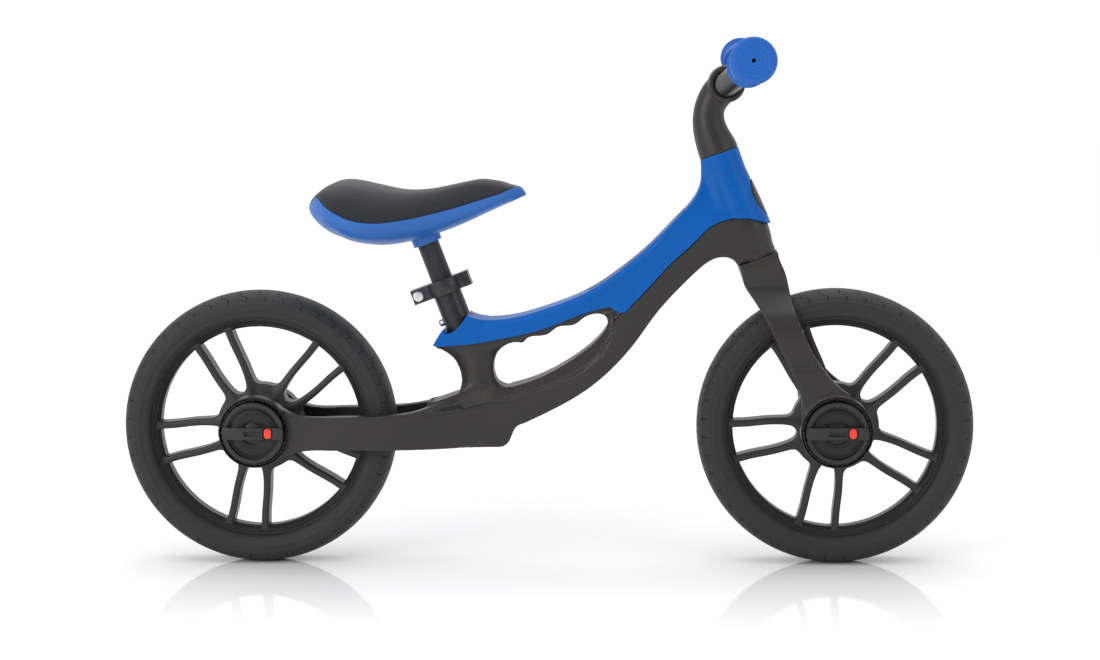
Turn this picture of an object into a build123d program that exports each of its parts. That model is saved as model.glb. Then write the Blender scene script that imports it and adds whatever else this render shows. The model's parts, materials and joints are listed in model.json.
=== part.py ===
from build123d import *
import os
from math import cos, radians, sin

# Balance bike, in millimetres. +X is forward, +Z is up, and the rider's right side faces -Y.
# The origin is on the ground, midway between the wheels.

# Driving dimensions
axle_x = 266
axle_z = 127
tyre_radius = 127
tyre_half = 24
tyre_gap_half = 28
panel_half = 20.5
core_half = 17.5
cover_half = 21.2

# Head and steering
head_tilt = 19.5
head_centre = (176.8, 0, 330.6)
head_half = 49.7
steerer_radius = 11.1
bush_radius = 13.5
bush_gap = 0.05
stop_range = 60

# Seat tube and post
seat_tilt = 20.5
seat_centre = (-94, 0, 260)
seat_tube_radius = 13
post_radius = 10
clamp_low = -9.75
clamp_high = 3.75

# Hubs: the boss on each leg, and the dial that sits in the right one
boss_radius = 33
boss_face = 44
pocket_radius = 31.2
pocket_floor = 36.5
dial_radius = 28
dial_face = 48
grip_bar_face = 51.5
button_offset = 13.8
axle_radius = 4

# Handlebar
bar_centre = (166.5, 0, 441.3)
bar_radius = 11.1
bar_points = [(166.5, 34, 441.3), (183.3, 85, 457.3), (184.9, 185, 463.1)]
grip_length = 105

steer = Plane(
    origin=head_centre,
    x_dir=(cos(radians(head_tilt)), 0, sin(radians(head_tilt))),
    z_dir=(-sin(radians(head_tilt)), 0, cos(radians(head_tilt))),
)
seat = Plane(
    origin=seat_centre,
    x_dir=(cos(radians(seat_tilt)), 0, sin(radians(seat_tilt))),
    z_dir=(-sin(radians(seat_tilt)), 0, cos(radians(seat_tilt))),
)


def outline(*runs):
    """A face closed from runs of points: two points make a line, more make a smooth curve."""
    edges = [Line(*run) if len(run) == 2 else Spline(*run) for run in runs]
    return make_face(Curve() + edges)


def slab(face, y0, y1):
    """A side-view face given its thickness, from y0 to y1."""
    return extrude(Plane.XZ.offset(-y1) * face, y1 - y0, dir=(0, -1, 0))


def rod(x, z, radius, y0, y1):
    """A round bar across the bike."""
    return extrude(Plane(origin=(x, y0, z), z_dir=(0, 1, 0)) * Circle(radius), y1 - y0)


def ring(x, z, outer, inner, y0, y1):
    return rod(x, z, outer, y0, y1) - rod(x, z, inner, y0, y1)


def post(plane, radius, low, high):
    """A round bar along a plane's own normal."""
    return extrude(plane.offset(low) * Circle(radius), high - low)


def turned(plane, points):
    """Points (radius, height along the normal) turned about a plane's normal."""
    face = plane * (Plane.XZ * Polygon(*points, align=None))
    return revolve(face, Axis(plane.origin, plane.z_dir), 360)


def turned_across(x, z, points):
    """Points (radius, y) turned about an axle at (x, z)."""
    face = Pos(x, 0, z) * (Plane.YZ * Polygon(*[(y, r) for r, y in points], align=None))
    return revolve(face, Axis((x, 0, z), (0, 1, 0)), 360)


def both_sides(piece):
    return piece + mirror(piece, Plane.XZ)


def save(name, piece):
    export_step(piece, "parts/" + name + ".step")


# Main frame and its cover ------------------------------------------------------------------

underside = [(-20, 131.5), (0, 141), (40, 164), (70, 191), (85, 209), (100, 230), (120, 253),
             (140, 272.5), (155, 283), (166, 284.5), (176, 278.5)]
foot_toe = [(-42, 109.5), (-34, 114), (-29, 125), (-20, 131.5)]
split_front = [(180, 320), (170, 319.5), (160, 316.5), (150, 311), (140, 301), (120, 283), (100, 262),
               (80, 241)]
split_tip = [(80, 241), (75.5, 235.8), (71, 233.6), (66, 235.5), (58, 239)]
split_rear = [(58, 239), (45, 236), (30, 231), (0, 219.5), (-40, 210), (-70, 205), (-103, 203.5)]
cover_top = [(-71, 232.5), (-65, 229.6), (-55, 227.8), (-40, 228), (-20, 231.5), (0, 237.5), (20, 244.5),
             (40, 253.5), (60, 266), (80, 281), (100, 298.5), (120, 319), (135, 335), (142, 348),
             (143.5, 361)]


def wheel_room(x, half):
    """The space that a wheel needs, with 5 mm all round the tyre."""
    rim = [(0, -half), (110, -half), (121, -half + 1), (128, -20), (132, -11), (133, 0)]
    return turned_across(x, axle_z, rim + [(r, -y) for r, y in rim[-2::-1]])


def plan_outline():
    """The frame's lower part seen from above: narrow beam, then the two stays."""
    side = [(60, panel_half), (0, panel_half), (-50, 22), (-80, 26.5), (-105, 34), (-130, 38.5),
            (-200, 41), (-266, 42)]
    near = [(x, -y) for x, y in side]
    return outline([(230, panel_half), (60, panel_half)], side, [(-266, 42), (-266, -42)], near[::-1],
                   [(60, -panel_half), (230, -panel_half)], [(230, -panel_half), (230, panel_half)])


def carry_loop():
    """The hole that fingers go through, with its wavy upper edge."""
    rear = [(-35, 164.5), (-44, 169), (-48, 181), (-44, 196.5), (-36, 204), (-20, 205.5)]
    waves = [(-20, 205.5), (-12, 212), (2, 213.5), (12, 220.5), (27, 222.5), (36, 229), (47, 232.7),
             (56, 231)]
    lower = [(56, 231), (58, 226), (52, 213), (36, 198), (20, 187), (0, 176), (-18, 169), (-35, 164.5)]
    return outline(rear, waves, lower)


def head_taper(inset):
    """What is shaved off both sides behind the head, so that the beam narrows into the round neck."""
    low, high = -10, 54
    full_half = 21.5
    high_halves = [(-95, 19), (-60, 16), (-38, 12.5), (-20, 8), (-12, 12.5), (35, 14)]
    low_halves = [(x, full_half) for x, _ in high_halves]

    def section(height, halves):
        near = [(x, half - inset) for x, half in halves]
        far = [(x, -y) for x, y in near[::-1]]
        return steer.offset(height) * Polygon(*near, *far, align=None)

    kept = loft([section(low, low_halves), section(high, high_halves)], ruled=True)
    block = extrude(steer.offset(low) * Pos(-30, 0) * Rectangle(130, 60), high - low)
    return block - kept


def core_face():
    """The whole black moulding from the side, less what the cover hides."""
    top = [(147.5, 355), (146, 348), (136, 331), (120, 315), (100, 295), (80, 277.5), (60, 262.5),
           (40, 250), (20, 241), (0, 234), (-20, 228), (-40, 224.5), (-62, 224)]
    column = [(-101, 202.5), (-94, 198.5), (-84, 190), (-79, 180), (-77.5, 168), (-80, 159)]
    return outline([(-115, 109.5), (-42, 109.5)], foot_toe, underside,
                   [(176, 278.5), (190, 283.5)], [(190, 283.5), (163, 360)], [(163, 360), (147.5, 355)],
                   top, [(-62, 224), (-101, 202.5)], column,
                   [(-80, 159), (-100, 152)], [(-100, 152), (-115, 149)], [(-115, 149), (-115, 109.5)])


def panel_face():
    """The proud flat panel of the beam's side, up to its crease."""
    crease = [(64, 226), (61, 212), (50, 194), (40, 185), (20, 173), (0, 165), (-20, 158), (-40, 153),
              (-60, 149), (-80, 144.5), (-110, 140)]
    return outline([(-110, 109.5), (-42, 109.5)], foot_toe, underside,
                   [(176, 278.5), (190, 283.5)], [(190, 283.5), (180, 320)], split_front, split_tip[:3],
                   [(71, 233.6), (64, 226)], crease, [(-110, 140), (-110, 109.5)])


def stay_face():
    """One rear stay from the side, out to the axle."""
    upper = [(-78, 158), (-90, 154), (-105, 148.5), (-125, 143.5), (-155, 141), (-200, 140), (-226, 141.5),
             (-240, 148)]
    return outline(upper, [(-240, 148), (-266, 156)], [(-266, 156), (-266, 98)], [(-266, 98), (-240, 104)],
                   [(-240, 104), (-226, 108), (-200, 109.5)], [(-200, 109.5), (-78, 109.5)],
                   [(-78, 109.5), (-78, 158)])


def hub_boss(x):
    """Both leg ends at one axle, with pockets outside, collars inside and the bores between."""
    side = rod(x, axle_z, boss_radius, -boss_face, -tyre_gap_half)
    side += rod(x, axle_z, 14, -tyre_gap_half, -17)
    side -= rod(x, axle_z, pocket_radius, -boss_face, -pocket_floor)
    return both_sides(side)


def hub_bores(x):
    """The axle's bore, the dial stub's socket and the seat of the axle's head."""
    bores = rod(x, axle_z, axle_radius, -29.8, 36.5)
    return bores + rod(x, axle_z, 6.05, -pocket_floor, -29.8) + rod(x, axle_z, 9, 33.5, pocket_floor)


head_core = [(bush_radius, -head_half), (19.2, -head_half), (19, -42), (20.2, -34), (20.6, -25), (19, 0),
             (17, 18), (15.7, 31), (15.7, head_half), (bush_radius, head_half)]
head_cover = [(10, -27), (23.3, -27), (23.1, -16), (21.7, 0), (19.6, 18), (18.3, 31), (18.3, head_half),
              (10, head_half)]


def stop_slot():
    """The slot in the head's lower end that limits the steering."""
    groove = post(steer, 17, -head_half, -head_half + 4) - post(steer, 14.5, -head_half, -head_half + 4)
    reach = radians(stop_range + 15)
    far = 60
    wedge = Polygon((0, 0), (far * cos(reach), -far * sin(reach)), (far, -far * sin(reach)),
                    (far, far * sin(reach)), (far * cos(reach), far * sin(reach)), align=None)
    return groove & extrude(steer.offset(-head_half) * wedge, 10, both=True)


def main_frame():
    body = slab(core_face(), -core_half, core_half) - head_taper(cover_half - core_half)
    lower = slab(panel_face(), -60, 60) + slab(stay_face(), -60, 60)
    body += lower & extrude(plan_outline(), 400, dir=(0, 0, 1))
    body -= slab(carry_loop(), -60, 60)
    slot = Pos(-231, 0, 130) * Box(200, 2 * tyre_gap_half - 1, 200)
    body -= slot + extrude(Pos(-131, 0, 30) * Circle(tyre_gap_half - 0.5), 200)
    body += turned(steer, head_core)
    body -= post(steer, bush_radius, -head_half, head_half)
    body += hub_boss(-axle_x)
    body -= rod(-axle_x, axle_z, pocket_radius, -boss_face, -pocket_floor)
    body -= rod(-axle_x, axle_z, pocket_radius, pocket_floor, boss_face)
    body -= hub_bores(-axle_x)
    body -= post(seat, seat_tube_radius, -130, 20)
    return body - stop_slot()


def inlay_face():
    upper = [(40, 253.9), (60, 266.4), (80, 281.4), (100, 298.9), (120, 319.4), (129, 328.8)]
    lower = [(129, 326.3), (120, 317), (100, 296.8), (80, 279.3), (60, 264.3), (40, 251.8)]
    return outline(upper, [upper[-1], lower[0]], lower, [lower[-1], upper[0]])


def top_inlay():
    return slab(inlay_face(), -4, 4)


def head_badge():
    """The oval disc on the front of the head, bent to its curve."""
    oval = extrude(Plane(steer.origin + steer.x_dir * 12, x_dir=(0, 1, 0), z_dir=steer.x_dir) *
                   Pos(0, 1) * Ellipse(13, 17.5), 30)
    skin = turned(steer, [(20.2, -20), (23.4, -20), (22, 0), (19.9, 20), (18, 20), (19.2, 0)])
    return oval & skin


def frame_cover(frame, inlay, badge):
    face = outline(split_front, split_tip, split_rear, [(-103, 203.5), (-100, 209), (-94, 218)],
                   [(-94, 218), (-89, 214.8), (-84, 216.5), (-71, 232.5)], cover_top,
                   [(143.5, 361), (143.7, 366.6)], [(143.7, 366.6), (143, 371.3)], [(143, 371.3), (162, 378)],
                   [(162, 378), (180, 320)])
    shell = slab(face, -cover_half, cover_half) - head_taper(0)
    shell -= extrude(steer.offset(head_half) * Rectangle(90, 60), 20)
    room = outline([(215, 311.5), (207, 314)], [(207, 314), (200, 316), (190, 319), (180, 320)],
                   split_front, [(80, 241), (80, 400)], [(80, 400), (215, 400)], [(215, 400), (215, 311.5)])
    shell += turned(steer, head_cover) & slab(room, -30, 30)
    shell -= slab(core_face(), -core_half, core_half) - head_taper(cover_half - core_half)
    shell -= turned(steer, head_core)
    shell -= post(steer, 16, -head_half - 20, head_half - 20)
    shell -= post(seat, seat_tube_radius + 0.6, -130, 60)
    shell -= slab(carry_loop(), -60, 60)
    shell -= frame
    shell -= inlay
    shell -= badge
    return max(shell.solids(), key=lambda s: s.volume)


def head_bush(side):
    """A flanged bush in one end of the head; side is 1 at the top and -1 at the bottom."""
    profile = [(steerer_radius + bush_gap, side * (head_half - 16)), (bush_radius, side * (head_half - 16)),
               (bush_radius, side * head_half), (14.2, side * head_half), (14.2, side * (head_half + 1.2)),
               (steerer_radius + bush_gap, side * (head_half + 1.2))]
    return turned(steer, profile)


# Seat --------------------------------------------------------------------------------------

def seat_tube():
    body = post(seat, seat_tube_radius, -130, clamp_high)
    return body - post(seat, post_radius + bush_gap, -126, clamp_high) - tube_screw_shank()


def tube_screw_shank():
    across = Plane(seat.origin - seat.z_dir * 34, x_dir=(0, 1, 0), z_dir=-seat.x_dir)
    return extrude(across.offset(11) * Circle(1.7), 3)


def seat_tube_screw():
    across = Plane(seat.origin - seat.z_dir * 34, x_dir=(0, 1, 0), z_dir=-seat.x_dir)
    head = extrude(across.offset(13) * Circle(3.4), 4.5)
    head = fillet(head.edges().sort_by(lambda e: e.center().X)[0], 1.2)
    return head + tube_screw_shank()


def seat_clamp():
    """The clamp band, with its split ears at the rear and a plain lug in front."""
    body = post(seat, 16.4, clamp_low, clamp_high)
    rear = Plane(seat.origin + seat.z_dir * clamp_low, x_dir=seat.x_dir, z_dir=seat.z_dir)
    body += extrude(rear * Pos(-21.5, 0) * Rectangle(19, 17), clamp_high - clamp_low)
    body += extrude(rear * Pos(16, 0) * Rectangle(6, 15), clamp_high - clamp_low)
    body -= post(seat, seat_tube_radius, clamp_low, clamp_high)
    body -= extrude(rear * Pos(-22, 0) * Rectangle(24, 2), clamp_high - clamp_low)
    return body - clamp_rod(2.6, -20, 20)


def clamp_rod(radius, y0, y1):
    spot = seat.origin - seat.x_dir * 25.1 + seat.z_dir * (clamp_low + clamp_high) / 2
    return rod(spot.X, spot.Z, radius, y0, y1)


def clamp_screw():
    """A pan-head screw with a cross recess, facing the rider's right."""
    body = clamp_rod(5.1, -11.5, -8.5) + clamp_rod(2.5, -8.5, 12)
    spot = clamp_rod(1, -11.5, -10).center()
    for turn in (0, 90):
        body -= Pos(spot.X, -11.5, spot.Z) * Rot(0, turn - 20, 0) * Box(5.6, 3, 1.1)
    return body


def clamp_nut():
    spot = clamp_rod(1, 8, 9).center()
    hexagon = Plane(origin=(spot.X, 8.5, spot.Z), z_dir=(0, 1, 0)) * RegularPolygon(5, 6)
    return extrude(hexagon, 4.2) - clamp_rod(2.5, 8, 13)


def clamp_block():
    """The small block in front of the clamp, with a pocket in its side."""
    base = Plane(seat.origin + seat.z_dir * clamp_low, x_dir=seat.x_dir, z_dir=seat.z_dir)
    body = extrude(base * Pos(22, 0) * Rectangle(6, 16), clamp_high - clamp_low)
    body = fillet(body.edges().filter_by(Axis(seat.origin, seat.z_dir)), 1)
    pocket = base.offset(4) * Pos(22, -8) * Rectangle(3, 3)
    return body - extrude(pocket, 6.5)


def saddle_plan(grow):
    """The saddle seen from above, wide behind and narrow in front."""
    side = [(-217 - grow, 0), (-212 - grow, 30 + grow), (-196, 55 + grow), (-178, 63 + grow),
            (-155, 60 + grow), (-125, 45 + grow), (-95, 33 + grow), (-60, 26 + grow), (-35, 20 + grow),
            (-20 + grow, 10 + grow), (-16 + grow, 0)]
    near = [(x, -y) for x, y in side[::-1]]
    return outline(side, near)


saddle_bottom = [(-217, 330), (-210, 321), (-200, 312.5), (-190, 306.5), (-175, 300.5), (-160, 297.5),
                 (-145, 296.5), (-130, 298), (-110, 302.5), (-90, 309), (-70, 317), (-45, 328.5), (-16, 341)]
pad_seam = [(-24, 348.5), (-40, 343), (-60, 337), (-80, 331), (-100, 326), (-120, 322), (-140, 319.5),
            (-155, 319.5), (-170, 322), (-182, 326.5), (-195, 334), (-204, 342)]
pad_top = [(-217, 330.5), (-213, 340), (-205, 347), (-195, 352.5), (-182, 355), (-170, 354), (-150, 349.5),
           (-130, 345.5), (-115, 345), (-100, 346.5), (-80, 350.5), (-60, 354.5), (-48, 355), (-35, 353.5),
           (-24, 348.5)]


def saddle_tower(radius, low, high):
    return post(seat, radius, low, high)


def saddle_hollow():
    floor = [(-206, 336), (-196, 319), (-178, 307), (-150, 301.5), (-120, 305), (-90, 314), (-60, 326.5),
             (-34, 339)]
    face = outline(floor, [(-34, 339), (-34, 400)], [(-34, 400), (-206, 400)], [(-206, 400), (-206, 336)])
    return slab(face, -90, 90) & (Pos(0, 0, 250) * extrude(saddle_plan(-5), 200))


def saddle_shell():
    face = outline(saddle_bottom, [(-16, 341), (-24, 348.5)], pad_seam, [(-204, 342), (-207, 340)],
                   [(-207, 340), (-217, 330)])
    body = slab(face, -90, 90) & (Pos(0, 0, 250) * extrude(saddle_plan(0), 200))
    body -= saddle_hollow()
    body += saddle_tower(13.5, 39.5, 58)
    body -= saddle_tower(post_radius, 30, 54)
    return body - saddle_tower(3.1, 50, 60)


def saddle_pad():
    """The foam pad, which fills the shell from 0.2 mm above its floor."""
    face = outline(pad_top, pad_seam, [(-204, 342), (-207, 340)], [(-207, 340), (-217, 330.5)])
    body = slab(face, -90, 90) & (Pos(0, 0, 250) * extrude(saddle_plan(-0.5), 200))
    over_pad = outline(pad_top, [(-24, 348.5), (0, 420)], [(0, 420), (-240, 420)],
                       [(-240, 420), (-217, 330.5)])
    fill = Pos(0, 0, 1) * saddle_hollow() - slab(over_pad, -95, 95)
    body += fill & (Pos(0, 0, 250) * extrude(saddle_plan(-5.2), 200))
    body -= saddle_tower(14, 30, 63)
    return max(body.solids(), key=lambda s: s.volume)


def seat_post():
    return post(seat, post_radius, -78, 54) - post(seat, 8, -78, 54)


def post_plug():
    return post(seat, 8, 36, 54) - post(seat, 3, 36, 54)


def saddle_bolt():
    return post(seat, 5.5, 58, 62) + post(seat, 3, 38, 58) - post(seat, 2, 59.5, 62)


# Steering ----------------------------------------------------------------------------------

crown_top = -head_half - 1.5


def fork():
    front = [(213, 291), (215, 281), (219, 272), (224, 252), (231, 229), (239, 209), (250, 189), (262, 173.5),
             (278, 160.5)]
    rear = [(234, 118), (234.5, 135), (234, 155), (229, 172), (215, 200), (203, 226), (190, 247),
            (182.5, 259), (180, 270), (176, 280)]
    side = outline(front, [(278, 160.5), (297, 118)], [(297, 118), (234, 118)], rear,
                   [(176, 280), (213, 291)])
    shoulders = [(18.6, 262), (21, 250), (28, 242), (36, 234), (40, 224), (41.5, 208), (42, 180)]
    left = [(-y, z) for y, z in shoulders[::-1]]
    front_view = outline([(18.6, 300), (18.6, 262)], shoulders, [(42, 180), (42, 100)],
                         [(42, 100), (-42, 100)], [(-42, 100), (-42, 180)], left,
                         [(-18.6, 262), (-18.6, 300)], [(-18.6, 300), (18.6, 300)])
    body = slab(side, -60, 60) & (Pos(160, 0, 0) * extrude(Plane.YZ * front_view, 160))
    body += post(steer, 18.4, crown_top - 22, crown_top)
    body -= extrude(steer.offset(crown_top) * Rectangle(120, 120), 60)
    body -= wheel_room(axle_x, tyre_gap_half)
    body += hub_boss(axle_x)
    body -= rod(axle_x, axle_z, pocket_radius, -boss_face, -pocket_floor)
    body -= rod(axle_x, axle_z, pocket_radius, pocket_floor, boss_face)
    body -= hub_bores(axle_x)
    body -= post(steer, steerer_radius, -72, crown_top)
    body -= post(steer, 4.1, -81, -71)
    body -= post(steer, 7.5, -100, -80)
    return body + stop_lug()


def stop_lug():
    """The lug that runs in the head's slot."""
    high = -head_half + 3.4
    arc = post(steer, 16.6, crown_top - 2, high) - post(steer, 14.9, crown_top - 2, high)
    return arc & extrude(steer.offset(crown_top - 4) * Pos(15, 0) * Rectangle(12, 6.4), 20)


def steerer_tube():
    return post(steer, steerer_radius, -72, 76) - post(steer, 9, -72, 76)


def steerer_nut():
    return post(steer, 9, -72, -52) - post(steer, axle_radius, -72, -52)


def steerer_bolt():
    socket = extrude(steer.offset(-86) * RegularPolygon(3.4, 6), 3)
    return post(steer, 6.5, -86, -80) + post(steer, axle_radius, -80, -50) - socket


def stem():
    """A round neck that bends forward into the barrel that holds the bar."""
    stations = [((159.7, 378.9), -19.5, 18.2), ((154.8, 391.5), -17, 16.9), ((151, 404), -7, 15.1),
                ((150.7, 416), 8, 14), ((154.5, 427), 28, 14.2), ((162, 437), 40, 14.4)]
    rings = []
    for (x, z), lean, radius in stations:
        normal = (sin(radians(lean)), 0, cos(radians(lean)))
        rings.append(Plane(origin=(x, 0, z), x_dir=(0, 1, 0), z_dir=normal) * Circle(radius))
    body = loft(rings) + rod(bar_centre[0], bar_centre[2], 16.5, -28, 28)
    body -= extrude(steer.offset(head_half + 1.5) * Rectangle(120, 120), -60)
    body -= post(steer, steerer_radius, 40, 76)
    body -= rod(bar_centre[0], bar_centre[2], bar_radius, -40, 40)
    return body - extrude(Plane.XY.offset(400) * Pos(bar_centre[0], 18) * Circle(3), 40)


def bar_path():
    near = [(x, -y, z) for x, y, z in bar_points[::-1]]
    return FilletPolyline(*near, *bar_points, radius=[60, 25, 25, 60])


def handlebar():
    path = bar_path()
    start = Plane(origin=path @ 0, z_dir=path % 0)
    return sweep(start * Circle(bar_radius), path) - sweep(start * Circle(9.5), path)


def bar_screw():
    return extrude(Plane.XY.offset(425) * Pos(bar_centre[0], 18) * Circle(3), 5.1)


def grip_plane():
    """The bar's right end, with its normal pointing out along the grip."""
    inner, outer = [Vector(x, -y, z) for x, y, z in bar_points[1:]]
    return Plane(origin=outer, z_dir=outer - inner)


def bar_grip():
    """A grip whose end wall closes over the bar, with the bar's end 5 mm short of it."""
    plane = grip_plane()
    ribs = []
    rise = 0.8
    for step in range(9):
        start = -90 + 9 * step
        ribs += [(15.6, start), (15.6 + rise, start + 1.5), (15.6 + rise, start + 6), (15.6, start + 7.5)]
    profile = [(bar_radius, -grip_length + 5), (18, -grip_length + 5), (18.7, -grip_length + 6.5),
               (18.7, -grip_length + 9.5), (15.6, -grip_length + 12)] + ribs
    profile += [(15.6, -6), (19.5, -4), (20, -2), (20, 2), (18.5, 4.2), (14, 5), (1.8, 5), (1.8, 0.2),
                (bar_radius, 0.2)]
    return turned(plane, profile)


def bar_plug():
    plane = grip_plane()
    return post(plane, 9.5, -10, 0) - post(plane, 1.8, -10, 0)


# Wheels ------------------------------------------------------------------------------------

def tyre(x):
    half = [(98.5, 0), (98.5, 11.4), (101.1, 12.9), (101.1, 19), (104, 22.2), (110, tyre_half),
            (117.6, tyre_half), (122, 20.5), (125.4, 14), (126.8, 7)]
    return turned_across(x, axle_z, half + [(tyre_radius, 0)] + [(r, -y) for r, y in half[:0:-1]])


def spoke():
    """One bowed spoke of a pair, lying along +X from the hub."""
    outer = [(30, 19), (36, 15), (44, 15.6), (60, 17.3), (80, 18.4), (97, 20.4)]
    inner = [(97, 13.6), (80, 11.8), (60, 10.7), (44, 8.3), (36, 6), (30, 0)]
    return outline(outer, [outer[-1], inner[0]], inner, [inner[-1], outer[0]]) & Circle(98)


def rim(x, turn):
    """Rim, five pairs of spokes and hub, moulded in one piece."""
    half = [(98.4, 11.5), (101, 13), (101, 15.2), (100.2, 15.2), (93.6, 6)]
    section = [(r, -y) for r, y in half[::-1]] + half
    body = turned_across(x, axle_z, section)
    body += ring(x, axle_z, 33, 11, -10.5, 10.5) + ring(x, axle_z, 20, 11, -16, 16)
    half_spoke = spoke()
    pair = half_spoke + mirror(half_spoke, Plane.XZ)
    for step in range(5):
        face = Pos(x, axle_z) * Rot(0, 0, turn + 72 * step) * pair
        body += slab(face, -10.5, 10.5)
    body -= rod(x, axle_z, 11, -16, -9) + rod(x, axle_z, 11, 9, 16)
    return body - rod(x, axle_z, 11, -9, 9) + ring(x, axle_z, 11, 8, -9, 9)


def bearings(x):
    return both_sides(ring(x, axle_z, 11, axle_radius + bush_gap, -16, -9))


def spacer(x):
    return ring(x, axle_z, 6, axle_radius, -8.7, 8.7)


def axle(x):
    return rod(x, axle_z, axle_radius, -29.8, 33.5) + rod(x, axle_z, 9, 33.5, pocket_floor)


# Hub dials ---------------------------------------------------------------------------------

def dial_ring(x):
    """The ribbed ring that holds the dial in its pocket."""
    body = ring(x, axle_z, pocket_radius, 29.6, -40.5, -pocket_floor)
    for step in range(20):
        body += Pos(x, 0, axle_z) * Rot(0, 18 * step + 9, 0) * Pos(30, -41, 0) * Box(2.2, 6, 1.2)
    return body & rod(x, axle_z, pocket_radius, -43.5, -pocket_floor)


def dial_bar_face(x):
    """The handle bar across the dial, with ends that follow its rim."""
    bar = slab(Pos(x, axle_z) * Rectangle(70, 10.7), -grip_bar_face, -43)
    return bar & rod(x, axle_z, dial_radius, -grip_bar_face, -43)


def dial(x):
    body = rod(x, axle_z, dial_radius, -dial_face, -pocket_floor - 0.3)
    body -= rod(x, axle_z, 24.4, -dial_face, -43)
    body += rod(x, axle_z, 21, -44.4, -43)
    body -= ring(x, axle_z, 11, 9, -45, -43.4)
    body += rod(x, axle_z, 9, -45.4, -43)
    body += dial_bar_face(x)
    body += rod(x, axle_z, 6, -40, -30.2)
    body -= slab(Pos(x, axle_z) * Rectangle(16, 4.8), -60, -48)
    body -= slab(Pos(x + button_offset, axle_z) * RectangleRounded(9.3, 11.9, 2.5), -60, -49.2)
    body -= slab(Pos(x + button_offset, axle_z) * RectangleRounded(7.1, 9.6, 3), -60, -42)
    return body - slab(Pos(x + button_offset, axle_z) * RectangleRounded(9.1, 11.6, 3), -42.2, -38.2)


def lock_button(x):
    face = Pos(x + button_offset, axle_z)
    body = slab(face * RectangleRounded(6.5, 9, 2.9), -51.2, -41.5)
    body += slab(face * RectangleRounded(8.5, 11, 2.7), -42, -40.7)
    return body - rod(x + button_offset, axle_z, 2.6, -46.5, -40)


def button_spring(x):
    """A coil spring between the button and the dial's back wall, drawn at its pressed length."""
    coil = Helix(pitch=1.25, height=5, radius=1.8)
    wire = sweep(Plane(origin=coil @ 0, z_dir=coil % 0) * Circle(0.25), coil, is_frenet=True)
    return Pos(x + button_offset, -38.6, axle_z) * Rot(90, 0, 0) * wire


def hub_cap(x):
    """The plain cap that covers the axle's head on the left side."""
    body = rod(x, axle_z, dial_radius, pocket_floor, dial_face - 1)
    body -= ring(x, axle_z, 24, 10, dial_face - 3.5, dial_face - 1)
    return fillet(body.edges().group_by(Axis.Y)[-1], 0.8)


def main():
    os.makedirs("parts", exist_ok=True)
    frame = main_frame()
    inlay = top_inlay()
    badge = head_badge()
    save("main_frame", frame)
    save("frame_cover", frame_cover(frame, inlay, badge))
    save("top_inlay", inlay - slab(core_face(), -core_half, core_half))
    save("head_badge", badge - frame)
    save("upper_head_bush", head_bush(1))
    save("lower_head_bush", head_bush(-1))
    save("seat_tube", seat_tube())
    save("seat_tube_screw", seat_tube_screw())
    save("seat_clamp", seat_clamp())
    save("clamp_block", clamp_block())
    save("clamp_screw", clamp_screw())
    save("clamp_nut", clamp_nut())
    save("seat_post", seat_post())
    save("post_plug", post_plug())
    save("saddle_bolt", saddle_bolt())
    save("saddle_shell", saddle_shell())
    save("saddle_pad", saddle_pad())
    save("fork", fork())
    save("steerer_tube", steerer_tube())
    save("steerer_nut", steerer_nut())
    save("steerer_bolt", steerer_bolt())
    save("stem", stem())
    save("handlebar", handlebar())
    save("bar_screw", bar_screw())
    save("grip_right", bar_grip())
    save("grip_left", mirror(bar_grip(), Plane.XZ))
    save("bar_end_plugs", both_sides(bar_plug()))
    for name, x, turn in (("front", axle_x, 44.4), ("rear", -axle_x, 45.4)):
        save(name + "_rim", rim(x, turn))
        save(name + "_tyre", tyre(x))
        save(name + "_bearings", bearings(x))
        save(name + "_spacer", spacer(x))
        save(name + "_axle", axle(x))
        save(name + "_dial_ring", dial_ring(x))
        save(name + "_hub_cap", hub_cap(x))
        save(name + "_dial", dial(x))
        save(name + "_lock_button", lock_button(x))
        save(name + "_button_spring", button_spring(x))


main()
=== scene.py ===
import bpy
import bmesh
import json
import math
import numpy as np
from mathutils import Matrix, Vector


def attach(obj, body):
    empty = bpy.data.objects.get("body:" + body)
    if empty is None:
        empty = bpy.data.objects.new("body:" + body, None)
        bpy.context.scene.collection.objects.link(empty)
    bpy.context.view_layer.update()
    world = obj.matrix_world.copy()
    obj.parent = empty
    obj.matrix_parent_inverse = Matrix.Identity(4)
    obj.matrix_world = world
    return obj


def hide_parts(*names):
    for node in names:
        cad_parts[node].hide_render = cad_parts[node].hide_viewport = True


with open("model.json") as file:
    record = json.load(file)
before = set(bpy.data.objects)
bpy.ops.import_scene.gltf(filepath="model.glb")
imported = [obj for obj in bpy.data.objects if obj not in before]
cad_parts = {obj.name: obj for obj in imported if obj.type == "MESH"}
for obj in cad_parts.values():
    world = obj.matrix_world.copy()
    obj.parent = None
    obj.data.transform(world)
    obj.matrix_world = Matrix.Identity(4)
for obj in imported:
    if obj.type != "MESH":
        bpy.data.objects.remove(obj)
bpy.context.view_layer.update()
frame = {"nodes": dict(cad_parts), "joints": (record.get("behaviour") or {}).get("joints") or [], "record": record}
nodes = frame["nodes"]
joints = {joint["name"]: joint for joint in frame["joints"]}
slots = {part["node"]: part["material_slot"] for part in frame["record"]["subparts"]}
mm = 0.001   # everything below is worked out in millimetres and built in metres


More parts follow.
